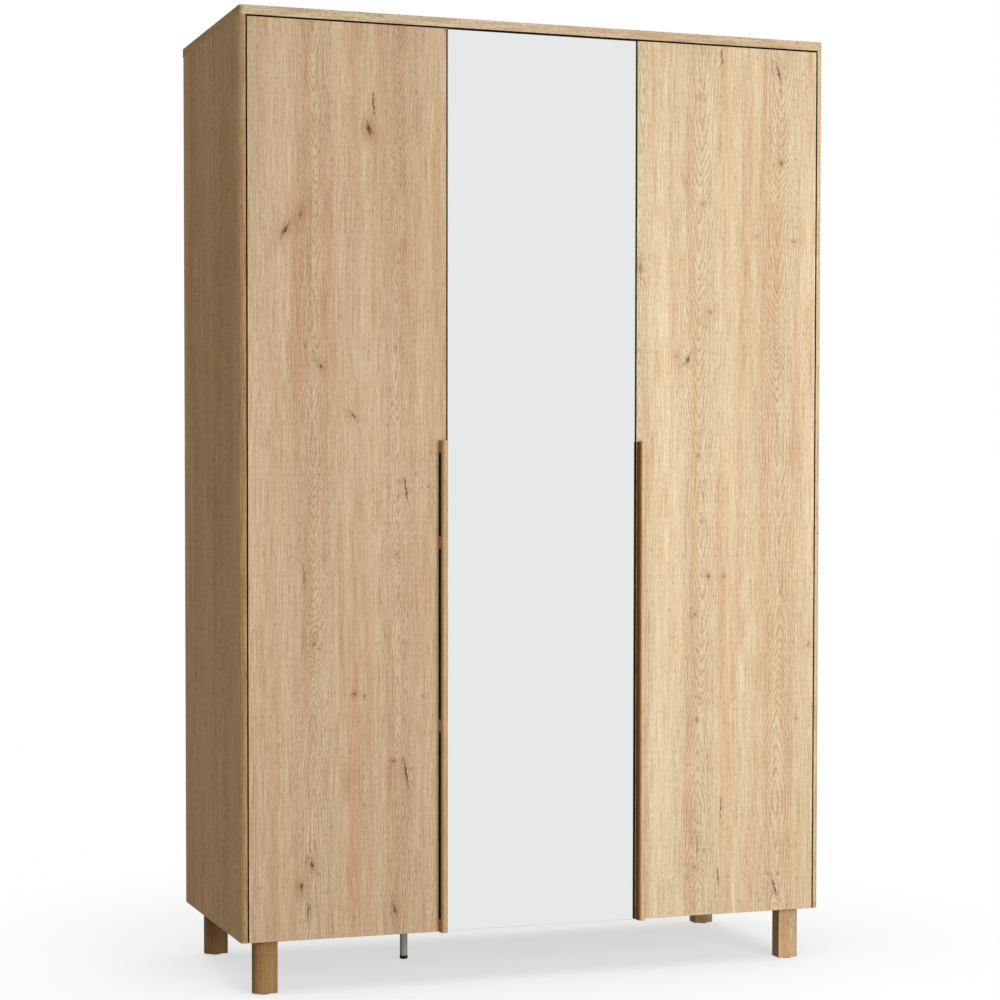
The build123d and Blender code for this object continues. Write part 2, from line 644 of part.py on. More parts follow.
def rail_socket(face_x, out):
    """A cupped oval end socket with a flange, screwed to an upright."""
    across = Plane(origin=(face_x, RAIL_Y, RAIL_Z), x_dir=(0, 0, 1), z_dir=(out, 0, 0))
    shell = extrude(across * oval(*grown(RAIL_SIZE, 2 * SOCKET_WALL)), SOCKET_LENGTH)
    room = extrude(across * oval(*grown(RAIL_SIZE, SOCKET_PLAY)), SOCKET_LENGTH)
    shell -= Pos(out * SOCKET_WALL, 0, 0) * room
    flange = extrude(across * oval(*SOCKET_FLANGE), SOCKET_WALL)
    holes = [
        rod((face_x, RAIL_Y, RAIL_Z + dz), (out, 0, 0), SOCKET_WALL, THICK_SHANK + 0.1)
        for dz in (-SOCKET_SCREW_Z, SOCKET_SCREW_Z)
    ]
    return cut(shell + flange, holes)


def rail_screws():
    """Two screws in each socket's flange."""
    return [
        wood_screw((x, RAIL_Y, RAIL_Z + dz), (-out, 0, 0), SOCKET_SCREW_LENGTH, shank_radius=THICK_SHANK)
        for x, out in ((PARTITION_RIGHT + SOCKET_WALL, 1), (INNER - SOCKET_WALL, -1))
        for dz in (-SOCKET_SCREW_Z, SOCKET_SCREW_Z)
    ]


BUFFER_RADIUS = 4.5
BUFFER_HEIGHT = 1.6
BUFFER_INSET = 60.0


def door_buffers():
    """Soft round pads on the bottom board's front edge, two for each door."""
    spots = [
        LEFT_PIVOT + door * (DOOR_WIDTH + DOOR_GAP) + offset
        for door in range(3)
        for offset in (BUFFER_INSET, DOOR_WIDTH - BUFFER_INSET)
    ]
    height = LEG_HEIGHT + BOARD / 2
    return [rod((x, INSIDE_FRONT, height), (0, -1, 0), BUFFER_HEIGHT, BUFFER_RADIUS) for x in spots]


# ---- build and write ---------------------------------------------------------------------------------
os.makedirs("parts", exist_ok=True)

left_hinges = hinge_set(LEFT_PIVOT, SIDE_FACE_U)
mirror_hinges = hinge_set(MIRROR_PIVOT, PARTITION_FACE_U)
right_hinges = {kind: mirrored(shapes) for kind, shapes in left_hinges.items()}

write("side_panel_left", cut(side_panel(-1), cam_bores["side_panel_left"] + pin_holes(-INNER, -1)))
write("side_panel_right", cut(side_panel(1), cam_bores["side_panel_right"]))
write("top_panel", cut(top_panel(), cam_bores["top_panel"]))
bolt_bores = [leg_bolt_bore(x, y) for x, y in LEG_PLACES.values()]
write("bottom_panel", cut(board_between(-INNER, INNER, LEG_HEIGHT), cam_bores["bottom_panel"] + bolt_bores))
write("partition", cut(partition(), cam_bores["partition"] + pin_holes(PARTITION_LEFT, 1) + hat_pin_holes))
write("back_panel_left", back_board(-BACK_SIDE, PARTITION_MIDDLE))
write("back_panel_middle", back_board(PARTITION_MIDDLE, BACK_SEAM - SEAM_HALF))
write("back_panel_right", back_board(BACK_SEAM + SEAM_HALF, BACK_SIDE))
write("back_joiner_strip", back_joiner())
write("back_nails", *back_nails())

hat_shelf = board_between(PARTITION_RIGHT, INNER, HAT_SHELF_BOTTOM, SHELF_REAR)
write("hat_shelf", cut(hat_shelf, cam_bores["hat_shelf"]))
for index, under in enumerate(SHELF_BOTTOMS, start=1):
    shelf = board_between(-INNER + SIDE_CLEARANCE, PARTITION_LEFT - SIDE_CLEARANCE, under, SHELF_REAR)
    write(f"shelf_{index}", shelf)
write("shelf_supports", *shelf_pins)
write("cam_locks", *cams)
write("cam_bolts", *cam_bolts)

write("hanging_rail", rail_tube())
write("rail_socket_left", rail_socket(PARTITION_RIGHT, 1))
write("rail_socket_right", rail_socket(INNER, -1))
write("rail_screws", *rail_screws())

for name, (x, y) in LEG_PLACES.items():
    write(name, leg(x, y))
write("leg_inserts", *[leg_insert(x, y) for x, y in LEG_PLACES.values()])
write("leg_bolts", *[leg_bolt(x, y) for x, y in LEG_PLACES.values()])
write("leg_glides", *[glide(x, y) for x, y in LEG_PLACES.values()])

write("centre_foot_flange", foot_flange())
write("centre_foot_tube", foot_tube())
write("centre_foot_nut", foot_nut())
write("centre_foot_cap", foot_cap())
write("centre_foot_stem", foot_stem())
flange_low = LEG_HEIGHT - FLANGE_HEIGHT
flange_screws = [wood_screw((x, y, flange_low), (0, 0, 1), FOOT_SCREW_LENGTH) for x, y in FOOT_SCREWS]
write("centre_foot_screws", *flange_screws)
write("door_buffers", *door_buffers())

hinge_groups = {"left": left_hinges, "mirror": mirror_hinges, "right": right_hinges}
for name, hinges in hinge_groups.items():
    write(f"hinge_plates_{name}", *hinges["plates"])
    write(f"hinge_arms_{name}", *hinges["arms"])
    write(f"hinge_screws_{name}", *hinges["plate_screws"])
    write(f"hinge_cups_{name}", *hinges["cups"])
    write(f"cup_screws_{name}", *hinges["cup_screws"])

write("left_door_panel", cut(door_panel(LEFT_PIVOT), left_hinges["bores"]))
write("left_handle", grip_strip())
write("left_handle_screws", *grip_screws())
write("mirror_door_board", cut(door_panel(MIRROR_PIVOT, FRONT + MIRROR_THICKNESS), mirror_hinges["bores"]))
write("mirror_glass", mirror_glass())
write("right_door_panel", cut(door_panel(RIGHT_PIVOT - DOOR_WIDTH), right_hinges["bores"]))
write("right_handle", *mirrored([grip_strip()]))
write("right_handle_screws", *mirrored(grip_screws()))
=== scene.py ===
# %% [markdown]
# # A three-door wardrobe in oak decor
#
# The joinery of this wardrobe is already drawn: every board, hinge and screw arrives as a fixed
# frame in real size. What is left is what a finisher does in the workshop, and this lesson follows
# that order: first the light and the place to look from, then the oak with its figure, pores and
# knots, then glass, metal and plastic, and last the small things that only show with a door open.

import math

import bpy
import numpy as np
from mathutils import Euler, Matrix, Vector

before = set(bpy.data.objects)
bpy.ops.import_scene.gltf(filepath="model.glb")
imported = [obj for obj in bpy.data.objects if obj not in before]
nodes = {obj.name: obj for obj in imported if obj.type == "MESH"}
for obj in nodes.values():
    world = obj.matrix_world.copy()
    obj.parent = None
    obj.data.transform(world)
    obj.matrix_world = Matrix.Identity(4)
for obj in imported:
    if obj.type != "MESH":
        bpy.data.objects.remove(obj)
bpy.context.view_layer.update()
print("nodes in the frame:", len(nodes))

# %% [markdown]
# ## Where we stand
#
# The wardrobe is looked at from the left of its middle, from just under six metres away and at chest
# height, through a long lens, so that its uprights stay almost parallel. The lens is shifted sideways
# and up, so that the camera hardly has to tilt, which is how a view camera keeps upright lines
# upright.

# %% Camera
EYE = Vector((-2.069, -5.557, 1.200))
TURN = math.radians(18.27)
NOD = math.radians(-1.96)
LENS_MM = 84.26
SHIFT = (0.0864, 0.0648)

lens = bpy.data.cameras.new("camera")
lens.lens = LENS_MM
lens.sensor_width = 36.0
lens.shift_x, lens.shift_y = SHIFT
lens.clip_end = 200.0
camera = bpy.data.objects.new("camera", lens)
camera.location = EYE
camera.rotation_euler = Euler((math.pi / 2 + NOD, 0.0, -TURN))
bpy.context.scene.collection.objects.link(camera)
bpy.context.scene.camera = camera
print("camera", LENS_MM, "mm, at", tuple(EYE))

# %% [markdown]
# ## Small tools for shader nodes
#
# A procedural finish is a long sum: stretch the coordinates, look up noise, compare, mix. Written
# node by node it is hard to read, so a few helpers let each step be one line. A value may be a
# number or the output of an earlier node.

# %% Node helpers
FLOAT, VECTOR, COLOUR = "NodeSocketFloat", "NodeSocketVector", "NodeSocketColor"


def add(tree, kind, **settings):
    """Adds a node and sets its properties."""
    made = tree.nodes.new(kind)
    for name, value in settings.items():
        setattr(made, name, value)
    return made


def feed(tree, socket, value):
    """Links a socket to an earlier output, or gives it a number."""
    if isinstance(value, bpy.types.NodeSocket):
        tree.links.new(value, socket)
    else:
        socket.default_value = value


def calc(tree, operation, *values, clamp=False):
    """One Math node: the operation on the values."""
    made = add(tree, "ShaderNodeMath", operation=operation, use_clamp=clamp)
    for socket, value in zip(made.inputs, values):
        feed(tree, socket, value)
    return made.outputs[0]


def pick(tree, factor, a, b):
    """a where factor is 0, b where it is 1, and between them a straight mix."""
    made = add(tree, "ShaderNodeMix", data_type="FLOAT")
    for place, value in ((0, factor), (2, a), (3, b)):
        feed(tree, made.inputs[place], value)
    return made.outputs[0]


def tint(tree, factor, a, b, blend="MIX"):
    """Mixes colour b into colour a by the factor, in a blend mode."""
    made = add(tree, "ShaderNodeMix", data_type="RGBA", blend_type=blend)
    feed(tree, made.inputs[0], factor)
    for socket, value in ((made.inputs[6], a), (made.inputs[7], b)):
        feed(tree, socket, (*value, 1.0) if isinstance(value, tuple) else value)
    return made.outputs[2]


def ease(tree, value, low, high, start=0.0, end=1.0):
    """A smooth step: start at or below low, end at or above high."""
    made = add(tree, "ShaderNodeMapRange", interpolation_type="SMOOTHSTEP")
    for socket, entry in zip(made.inputs, (value, low, high, start, end)):
        feed(tree, socket, entry)
    return made.outputs[0]


def stretch(tree, vector, scale, offset=(0.0, 0.0, 0.0)):
    """vector times scale plus offset, part by part."""
    made = add(tree, "ShaderNodeVectorMath", operation="MULTIPLY_ADD")
    for socket, value in zip(made.inputs, (vector, scale, offset)):
        feed(tree, socket, value)
    return made.outputs[0]


def noise(tree, vector, detail=2.0, roughness=0.5):
    """Smooth noise from 0 to 1 with one blob per unit of the vector."""
    made = add(tree, "ShaderNodeTexNoise")
    feed(tree, made.inputs["Vector"], vector)
    made.inputs["Scale"].default_value = 1.0
    made.inputs["Detail"].default_value = detail
    made.inputs["Roughness"].default_value = roughness
    return made.outputs[0]


def split(tree, vector):
    """The three parts of a vector."""
    made = add(tree, "ShaderNodeSeparateXYZ")
    feed(tree, made.inputs[0], vector)
    return tuple(made.outputs)


def join(tree, x, y, z):
    """A vector from three parts."""
    made = add(tree, "ShaderNodeCombineXYZ")
    for socket, value in zip(made.inputs, (x, y, z)):
        feed(tree, socket, value)
    return made.outputs[0]


def new_group(name, inputs, outputs):
    """A shader node group with named sockets: the tree, what it is given and what it gives."""
    tree = bpy.data.node_groups.new(name, "ShaderNodeTree")
    for label, kind in inputs.items():
        tree.interface.new_socket(label, in_out="INPUT", socket_type=kind)
    for label, kind in outputs.items():
        tree.interface.new_socket(label, in_out="OUTPUT", socket_type=kind)
    given = tree.nodes.new("NodeGroupInput").outputs
    gives = tree.nodes.new("NodeGroupOutput").inputs
    return tree, given, gives


def use(tree, group, **values):
    """Places a group in a tree and feeds its inputs; underscores stand for spaces."""
    made = add(tree, "ShaderNodeGroup", node_tree=group)
    for name, value in values.items():
        feed(tree, made.inputs[name.replace("_", " ")], value)
    return made.outputs


print("node helpers ready")

# %% [markdown]
# ## Board space: across and along the grain
#
# Oak decor is printed with its grain along the board, and each cut edge gets its own strip of
# edging whose grain runs along that edge. So the pattern can't simply read X, Y and Z. This group
# asks which way the surface faces and gives every face its own pair: metres across the grain and
# metres along it. The third part of the vector is a seed, so that no two boards are alike.

# %% Board space groups
FACING = 0.7
EDGE_SHIFT = 3.0


def board_space(name, upright):
    """Across and along the grain for an upright or a level board, by the way each face looks."""
    tree, given, gives = new_group(name, {"Seed": FLOAT}, {"Board": VECTOR})
    place = add(tree, "ShaderNodeTexCoord")
    x, y, z = split(tree, place.outputs["Object"])
    nx, _, nz = split(tree, place.outputs["Normal"])
    sideways = calc(tree, "GREATER_THAN", calc(tree, "ABSOLUTE", nx), FACING)
    level = calc(tree, "GREATER_THAN", calc(tree, "ABSOLUTE", nz), FACING)
    if upright:
        across = pick(tree, level, pick(tree, sideways, x, y), calc(tree, "ADD", y, EDGE_SHIFT))
        along = pick(tree, level, z, x)
    else:
        across = pick(tree, level, calc(tree, "ADD", z, EDGE_SHIFT), y)
        along = pick(tree, sideways, x, y)
    feed(tree, gives["Board"], join(tree, across, along, given["Seed"]))
    return tree


UPRIGHT = board_space("upright_board_space", True)
LEVEL = board_space("level_board_space", False)
print("board space groups:", UPRIGHT.name, LEVEL.name)

# %% [markdown]
# ## A knot
#
# Where a branch left the trunk the grain flows round it like water round a stone. The group does
# three things at one place on the board: it pushes the pattern's coordinates aside, so that fibres
# bend; it raises the ring field, so that rings close into an eye; and it hands on masks for the dark
# core, the warm halo and the fine crack that often splits it. Knots are chained one after another,
# each adding to what came before. Painting them would be quicker, but these bend the real pattern.

# %% Knot group
KNOT_IN = {
    "Board": VECTOR, "Rise": FLOAT, "Core": FLOAT, "Halo": FLOAT, "Crack": FLOAT,
    "Across": FLOAT, "Along": FLOAT, "Width": FLOAT, "Length": FLOAT,
    "Darkness": FLOAT, "Split": FLOAT, "Lean": FLOAT,
}
KNOT_OUT = {"Board": VECTOR, "Rise": FLOAT, "Core": FLOAT, "Halo": FLOAT, "Crack": FLOAT}
PUSH = 0.8
RAGGED_GRAIN = (160.0, 90.0, 1.0)
CORE_EDGE = (0.16, 0.42)
HALO_POWER = 0.7
HALO_LEAST = 0.15
CRACK_WANDER = 0.012
CRACK_HALF_WIDTH = (0.0006, 0.0024)
CRACK_REACH = (0.3, 1.15)


def knot_group():
    """Round a place (Across, Along), with e = exp(-(u/width)^2 - (v/length)^2) of the offsets u, v:
    shifts the board across by -push*u*e, adds e to the rise, and masks core, halo and crack."""
    tree, given, gives = new_group("oak_knot", KNOT_IN, KNOT_OUT)
    across, along, seed = split(tree, given["Board"])
    v = calc(tree, "SUBTRACT", along, given["Along"])
    ragged = noise(tree, stretch(tree, given["Board"], RAGGED_GRAIN), 3.0)
    ragged = calc(tree, "SUBTRACT", ragged, 0.5)
    straight = calc(tree, "SUBTRACT", across, given["Across"])
    u = calc(tree, "ADD", straight, calc(tree, "MULTIPLY", v, given["Lean"]))
    a = calc(tree, "DIVIDE", u, given["Width"])
    b = calc(tree, "DIVIDE", v, given["Length"])
    squared = calc(tree, "ADD", calc(tree, "MULTIPLY", a, a), calc(tree, "MULTIPLY", b, b))
    e = calc(tree, "EXPONENT", calc(tree, "MULTIPLY", squared, -1.0))
    push = calc(tree, "MULTIPLY", calc(tree, "MULTIPLY", u, e), PUSH)
    feed(tree, gives["Board"], join(tree, calc(tree, "SUBTRACT", across, push), along, seed))
    feed(tree, gives["Rise"], calc(tree, "ADD", given["Rise"], e))

    distance = calc(tree, "ADD", calc(tree, "SQRT", squared), ragged)
    core = calc(tree, "MULTIPLY", ease(tree, distance, *CORE_EDGE, 1.0, 0.0), given["Darkness"])
    feed(tree, gives["Core"], calc(tree, "MAXIMUM", given["Core"], core))
    strength = calc(tree, "ADD", given["Darkness"], HALO_LEAST)
    halo = calc(tree, "MULTIPLY", calc(tree, "POWER", e, HALO_POWER), strength)
    feed(tree, gives["Halo"], calc(tree, "MAXIMUM", given["Halo"], halo))

    wander = calc(tree, "MULTIPLY", ragged, CRACK_WANDER)
    off = calc(tree, "ABSOLUTE", calc(tree, "ADD", u, wander))
    line = ease(tree, off, *CRACK_HALF_WIDTH, 1.0, 0.0)
    reach = ease(tree, calc(tree, "ABSOLUTE", b), *CRACK_REACH, 1.0, 0.0)
    crack = calc(tree, "MULTIPLY", calc(tree, "MULTIPLY", line, reach), given["Split"])
    feed(tree, gives["Crack"], calc(tree, "MAXIMUM", given["Crack"], crack))
    return tree


KNOT = knot_group()
print("knot group sockets:", len(KNOT_IN), "in,", len(KNOT_OUT), "out")

# %% [markdown]
# ## The heart figure
#
# Oak sawn flat shows columns of nested arches. They are contour lines: the growth rings are shells
# round a slightly bent trunk, and the board is a plane that cuts them. So a column is made as a
# height field, a bowl across the board plus a slow swell and the trunk's bend along it, and its
# contour lines are drawn with the sharp dark edge of late wood. The arches point up below the crest
# of the bend and down above it, and where the swell peaks, the lines close into eyes.

# %% Figure group
FIGURE_IN = {"Board": VECTOR, "Rise": FLOAT, "Column": FLOAT, "Half Width": FLOAT,
             "Swell": FLOAT, "Pace": FLOAT, "Rings": FLOAT, "Crest": FLOAT}
TRUNK_BEND = 7.0
BOWL_POWER = 1.35
DRIFT_SEED = 7.3
DRIFT_PACE = 1.7
DRIFT = 0.035
SWELL_SEED = 9.0
WAVE_GRAIN = (60.0, 9.0, 1.0)
WAVE = 0.30
LATE_WOOD_POWER = 6.0
LATE_WOOD_END = (0.93, 1.0)
FLANK = (0.9, 2.3)
BREAK_GRAIN = (260.0, 24.0, 1.0)
BREAK_EDGE = (0.3, 0.62)
LINE_LEAST = 0.4


def figure_group():
    """Field = |(across - column)/half width|^1.35 + swell * noise(pace * along) - bend * |along - crest|
    + a little waviness + rise, where the column drifts slowly to and fro. The line is dark where the
    fraction of rings * field is near 1, it is broken by noise, and it fades off the column's flanks."""
    tree, given, gives = new_group("oak_figure", FIGURE_IN, {"Line": FLOAT, "Band": FLOAT})
    across, along, seed = split(tree, given["Board"])
    slow = calc(tree, "MULTIPLY", along, DRIFT_PACE)
    drift = noise(tree, join(tree, calc(tree, "ADD", seed, DRIFT_SEED), slow, 0.0), 1.0)
    drift = calc(tree, "MULTIPLY", calc(tree, "SUBTRACT", drift, 0.5), DRIFT)
    middle = calc(tree, "ADD", given["Column"], drift)
    u = calc(tree, "DIVIDE", calc(tree, "SUBTRACT", across, middle), given["Half Width"])
    outward = calc(tree, "ABSOLUTE", u)
    bowl = calc(tree, "POWER", outward, BOWL_POWER)
    pace = calc(tree, "MULTIPLY", along, given["Pace"])
    swell = noise(tree, join(tree, calc(tree, "MULTIPLY", given["Column"], SWELL_SEED), pace, seed), 1.5)
    field = calc(tree, "ADD", bowl, calc(tree, "MULTIPLY", swell, given["Swell"]))
    away = calc(tree, "ABSOLUTE", calc(tree, "SUBTRACT", along, given["Crest"]))
    field = calc(tree, "SUBTRACT", field, calc(tree, "MULTIPLY", away, TRUNK_BEND))
    wave = calc(tree, "MULTIPLY", noise(tree, stretch(tree, given["Board"], WAVE_GRAIN), 2.0), WAVE)
    field = calc(tree, "ADD", calc(tree, "ADD", field, wave), given["Rise"])

    turn = calc(tree, "FRACT", calc(tree, "MULTIPLY", field, given["Rings"]))
    rise = calc(tree, "POWER", turn, LATE_WOOD_POWER)
    fall = ease(tree, turn, *LATE_WOOD_END, 1.0, 0.0)
    near = ease(tree, outward, *FLANK, 1.0, 0.0)
    line = calc(tree, "MULTIPLY", calc(tree, "MULTIPLY", rise, fall), near)
    broken = ease(tree, noise(tree, stretch(tree, given["Board"], BREAK_GRAIN), 3.0), *BREAK_EDGE)
    strength = calc(tree, "ADD", calc(tree, "MULTIPLY", broken, 1.0 - LINE_LEAST), LINE_LEAST)
    feed(tree, gives["Line"], calc(tree, "MULTIPLY", line, strength))
    feed(tree, gives["Band"], calc(tree, "MULTIPLY", near, turn))
    return tree


FIGURE = figure_group()
print("figure group sockets:", len(FIGURE_IN))

# %% [markdown]
# ## Oak colour
#
# The tones are laid on like a printer lays inks, from broad to fine: wide soft streaks a hand across,
# narrow streaks, fibres, then the pores, short dark dashes that follow the grain and crowd together
# where the figure darkens. The lines of the figure and the knots come last. The same sum also says
# how rough each spot is and how deep the pores are pressed, because embossed decor follows its print.

# %% Oak colour group
OAK_PALE = (0.690, 0.575, 0.405)
OAK_MID = (0.505, 0.388, 0.246)
OAK_WARM = (0.560, 0.375, 0.210)
OAK_LINE = (0.215, 0.135, 0.072)
OAK_PORE = (0.205, 0.125, 0.065)
KNOT_DARK = (0.070, 0.040, 0.022)

# A layer of the print: its name, the stretch, detail and roughness of its noise, where it starts and
# ends easing in, how much of its ink is laid on, the ink, and how the ink is mixed in.
LAYERS = (
    ("broad", (8.0, 0.55, 1.0), 2.0, 0.5, (0.32, 0.68), 0.34, OAK_MID, "MIX"),
    ("streak", (52.0, 1.1, 1.0), 3.0, 0.6, (0.34, 0.68), 0.26, OAK_MID, "MIX"),
    ("warmth", (26.0, 0.9, 4.0), 2.0, 0.5, (0.45, 0.66), 0.50, OAK_WARM, "MIX"),
    ("ribbon", (120.0, 3.2, 2.0), 3.0, 0.6, (0.34, 0.66), 0.11, OAK_MID, "MULTIPLY"),
    ("fibre", (460.0, 9.0, 1.0), 2.0, 0.7, (0.40, 0.62), 0.42, OAK_WARM, "MULTIPLY"),
    ("grit", (640.0, 110.0, 3.0), 1.0, 0.6, (0.44, 0.62), 0.26, OAK_MID, "MULTIPLY"),
)
# What a knot adds over them: its mask, how much of its ink, the ink and how it is mixed in.
KNOT_INKS = (
    ("Halo", 0.42, OAK_WARM, "MULTIPLY"),
    ("Core", 0.85, KNOT_DARK, "MIX"),
    ("Crack", 0.90, KNOT_DARK, "MIX"),
)
PORE_GRAIN = (760.0, 60.0, 1.0)
PORE_LEVEL = 0.66
PORE_EDGE = (-0.01, 0.02)
PORE_SHARE = 0.55
CROWD_GRAIN = (95.0, 3.0, 2.0)
CROWD_EDGE = (0.35, 0.7)
CROWD = 0.08
BAND_CROWD = 0.05
PLAIN_ROUGHNESS = 0.52
STREAK_ROUGHNESS = 0.06
PORE_ROUGHNESS = 0.20
PORE_SINK = 0.7
LINE_SINK = 0.35
FIBRE_RISE = 0.25

OAK_IN = {"Board": VECTOR, "Line": FLOAT, "Band": FLOAT, "Core": FLOAT, "Halo": FLOAT, "Crack": FLOAT}
OAK_OUT = {"Colour": COLOUR, "Roughness": FLOAT, "Height": FLOAT}


def pores(tree, board, band):
    """1 in the pores: where fine dashes of noise pass a level that sinks where pores crowd."""
    dashes = noise(tree, stretch(tree, board, PORE_GRAIN), 2.0, 0.6)
    crowd = ease(tree, noise(tree, stretch(tree, board, CROWD_GRAIN), 2.0), *CROWD_EDGE)
    crowd = calc(tree, "MULTIPLY", crowd, CROWD)
    crowd = calc(tree, "ADD", crowd, calc(tree, "MULTIPLY", band, BAND_CROWD))
    level = calc(tree, "SUBTRACT", PORE_LEVEL, crowd)
    return ease(tree, calc(tree, "SUBTRACT", dashes, level), *PORE_EDGE)


def oak_group():
    """Colour, roughness and height of oak decor from board space and the figure's masks."""
    tree, given, gives = new_group("oak_decor", OAK_IN, OAK_OUT)
    board = given["Board"]
    colour = OAK_PALE
    fields = {}
    laid = {}
    for layer, grain, detail, roughness, edge, amount, ink, blend in LAYERS:
        fields[layer] = noise(tree, stretch(tree, board, grain), detail, roughness)
        laid[layer] = ease(tree, fields[layer], *edge)
        colour = tint(tree, calc(tree, "MULTIPLY", laid[layer], amount), colour, ink, blend)

    pore = pores(tree, board, given["Band"])
    colour = tint(tree, calc(tree, "MULTIPLY", pore, PORE_SHARE), colour, OAK_PORE)
    colour = tint(tree, given["Line"], colour, OAK_LINE)
    for mask, amount, ink, blend in KNOT_INKS:
        colour = tint(tree, calc(tree, "MULTIPLY", given[mask], amount), colour, ink, blend)
    feed(tree, gives["Colour"], colour)

    rough = calc(tree, "MULTIPLY", laid["streak"], STREAK_ROUGHNESS)
    rough = calc(tree, "ADD", rough, calc(tree, "MULTIPLY", pore, PORE_ROUGHNESS))
    feed(tree, gives["Roughness"], calc(tree, "ADD", PLAIN_ROUGHNESS, rough))
    sunk = calc(tree, "ADD", calc(tree, "MULTIPLY", pore, PORE_SINK), given["Crack"])
    sunk = calc(tree, "ADD", sunk, calc(tree, "MULTIPLY", given["Line"], LINE_SINK))
    raised = calc(tree, "MULTIPLY", fields["fibre"], FIBRE_RISE)
    feed(tree, gives["Height"], calc(tree, "SUBTRACT", raised, sunk))
    return tree


OAK = oak_group()
print("oak group sockets:", len(OAK_IN))

# %% [markdown]
# ## From groups to boards
#
# Each visible board gets a finish of its own from the same groups, with its own seed, its own
# columns and its own knots. A column is (place across, half width, swell, pace, rings, crest) and a
# knot is (across, along, width, length, darkness, split, lean), with places and sizes in metres on
# the board. The shader itself, with its plain numbers, stays in the material.

# %% Oak material
EMBOSS = 0.00012
EMBOSS_STRENGTH = 0.7
DECOR_SPECULAR = 0.16
PLAIN_COLUMN = (0.0, 0.05, 6.0, 1.6, 3.0, 1.0)


def oak_material(name, space, seed, columns, knots=(), tone=(1.0, 1.0, 1.0), spread=(1.0, 1.0, 1.0)):
    """Oak decor for one board: board space, knots, figure columns and colour, in that order. The
    spread scales board space, so a spread under 1 across the grain makes every streak wider."""
    material = bpy.data.materials.new(name)
    material.use_nodes = True
    tree = material.node_tree
    shader = tree.nodes["Principled BSDF"]
    board = stretch(tree, use(tree, space, Seed=seed)["Board"], spread)
    passed = {"Board": board, "Rise": 0.0, "Core": 0.0, "Halo": 0.0, "Crack": 0.0}
    for across, along, width, length, darkness, split_open, lean in knots:
        made = use(tree, KNOT, **passed, Across=across, Along=along, Width=width, Length=length,
                   Darkness=darkness, Split=split_open, Lean=lean)
        passed = {label: made[label] for label in KNOT_OUT}
    line, band = 0.0, 0.0
    for column, half, swell, pace, rings, crest in columns:
        made = use(tree, FIGURE, Board=passed["Board"], Rise=passed["Rise"], Column=column,
                   Half_Width=half, Swell=swell, Pace=pace, Rings=rings, Crest=crest)
        line = calc(tree, "MAXIMUM", line, made["Line"])
        band = calc(tree, "MAXIMUM", band, made["Band"])
    oak = use(tree, OAK, Board=passed["Board"], Line=line, Band=band,
              Core=passed["Core"], Halo=passed["Halo"], Crack=passed["Crack"])
    feed(tree, shader.inputs["Base Color"], tint(tree, 1.0, oak["Colour"], tone, "MULTIPLY"))
    feed(tree, shader.inputs["Roughness"], oak["Roughness"])
    bump = add(tree, "ShaderNodeBump")
    bump.inputs["Strength"].default_value = EMBOSS_STRENGTH
    bump.inputs["Distance"].default_value = EMBOSS
    feed(tree, bump.inputs["Height"], oak["Height"])
    feed(tree, shader.inputs["Normal"], bump.outputs[0])
    shader.inputs["Specular IOR Level"].default_value = DECOR_SPECULAR
    return material


def finish_nodes(material, *names):
    """Gives a finish to CAD pieces by name."""
    for name in names:
        nodes[name].data.materials.clear()
        nodes[name].data.materials.append(material)
    print(material.name, "on", len(names), "pieces")


# %% [markdown]
# ## Painted shade in the grip hollows and the gaps
#
# Each grip is a bar on a rib with three hollows for the fingers behind it. The hollows and the door
# behind them are painted nearly black as painted shade, which draws the thin dark line along the bar.
# The doors' edges and the case round them are painted dark too, as painted shade, so that every gap
# reads as a clean black line. Each of these places is a mask worked out from where a spot is, in
# metres, and from the way its face looks.

# %% Masks for painted shade
# Pairs of limits in metres: across is the distance from the middle plane, depth is Y, height is Z.
POCKET_ACROSS = (0.2505, 0.2648)
POCKET_DEPTH = (-0.2986, -0.2829)
POCKET_HEIGHTS = ((0.160, 0.610), (0.640, 1.047), (1.077, 1.276))
REBATE_HALF = 0.7355
REBATE_TOP = 2.2835
REBATE_DEPTH = (-0.2828, -0.2665)
FADE = (-0.9, -0.2)


def between(tree, value, low, high):
    """1 where low < value < high, else 0."""
    above = calc(tree, "GREATER_THAN", value, low)
    return calc(tree, "MULTIPLY", above, calc(tree, "LESS_THAN", value, high))


def pocket_group():
    """1 inside the three hollows behind a grip, on the left and on the right door alike."""
    tree, _, gives = new_group("grip_pockets", {}, {"Mask": FLOAT})
    x, y, z = split(tree, add(tree, "ShaderNodeTexCoord").outputs["Object"])
    across = between(tree, calc(tree, "ABSOLUTE", x), *POCKET_ACROSS)
    behind = between(tree, y, *POCKET_DEPTH)
    height = 0.0
    for low, high in POCKET_HEIGHTS:
        height = calc(tree, "MAXIMUM", height, between(tree, z, low, high))
    feed(tree, gives["Mask"], calc(tree, "MULTIPLY", calc(tree, "MULTIPLY", across, behind), height))
    return tree


def edge_group():
    """1 on the narrow faces of a door board, which look sideways, up or down."""
    tree, _, gives = new_group("board_edges", {}, {"Mask": FLOAT})
    nx, _, nz = split(tree, add(tree, "ShaderNodeTexCoord").outputs["Normal"])
    most = calc(tree, "MAXIMUM", calc(tree, "ABSOLUTE", nx), calc(tree, "ABSOLUTE", nz))
    feed(tree, gives["Mask"], calc(tree, "GREATER_THAN", most, FACING))
    return tree


def facing_group(name, axis):
    """1 on faces that look to the low side of an axis, fading out as they turn away from it."""
    tree, _, gives = new_group(name, {}, {"Mask": FLOAT})
    towards = split(tree, add(tree, "ShaderNodeTexCoord").outputs["Normal"])[axis]
    feed(tree, gives["Mask"], ease(tree, towards, *FADE, 1.0, 0.0))
    return tree


